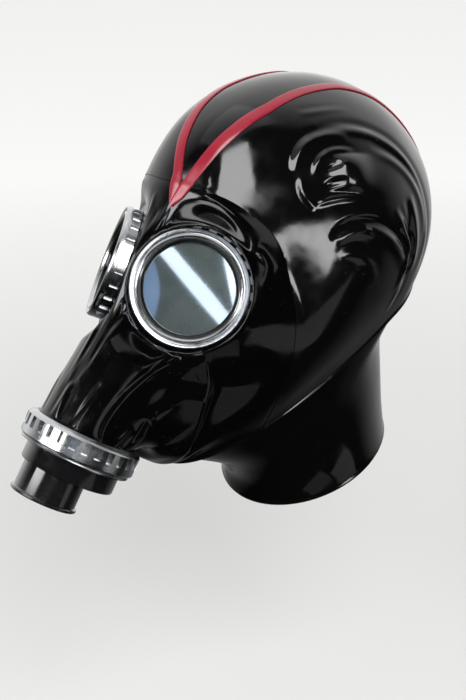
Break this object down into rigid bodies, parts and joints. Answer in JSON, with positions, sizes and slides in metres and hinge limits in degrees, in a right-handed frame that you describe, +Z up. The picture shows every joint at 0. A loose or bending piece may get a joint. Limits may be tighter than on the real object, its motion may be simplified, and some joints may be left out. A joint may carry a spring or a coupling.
{
  "type": "gas mask style hood mask",
  "caption": "Full-head hood mask of glossy black rubber sheet with round metal-framed lenses and a screw connector on its snout.",
  "frame": {"origin": "inside top of the crown, where the hood rests on the head", "axes": "+Z up, the wearer looks along -Y, +X to the wearer's left"},
  "size_m": [0.1494, 0.3021, 0.2656],
  "materials": {
    "rubber": "glossy black moulded rubber sheet",
    "crimson_rubber": "glossy crimson rubber strip",
    "gasket_rubber": "black rubber gasket",
    "polished_metal": "polished turned metal",
    "lens_glass": "dark grey-green glass",
    "black_plastic": "black moulded plastic"
  },
  "bodies": {
    "root": {"face_piece": "rubber", "skull_right": "rubber", "crown_panel": "rubber", "skull_left": "rubber", "neck_piece": "rubber", "trim_left": "crimson_rubber", "trim_right": "crimson_rubber", "lens_ring_left": "polished_metal", "lens_glass_left": "lens_glass", "lens_gasket_left": "gasket_rubber", "lens_ring_right": "polished_metal", "lens_glass_right": "lens_glass", "lens_gasket_right": "gasket_rubber", "connector_ring": "polished_metal", "connector_body": "black_plastic"}
  },
  "joints": []
}
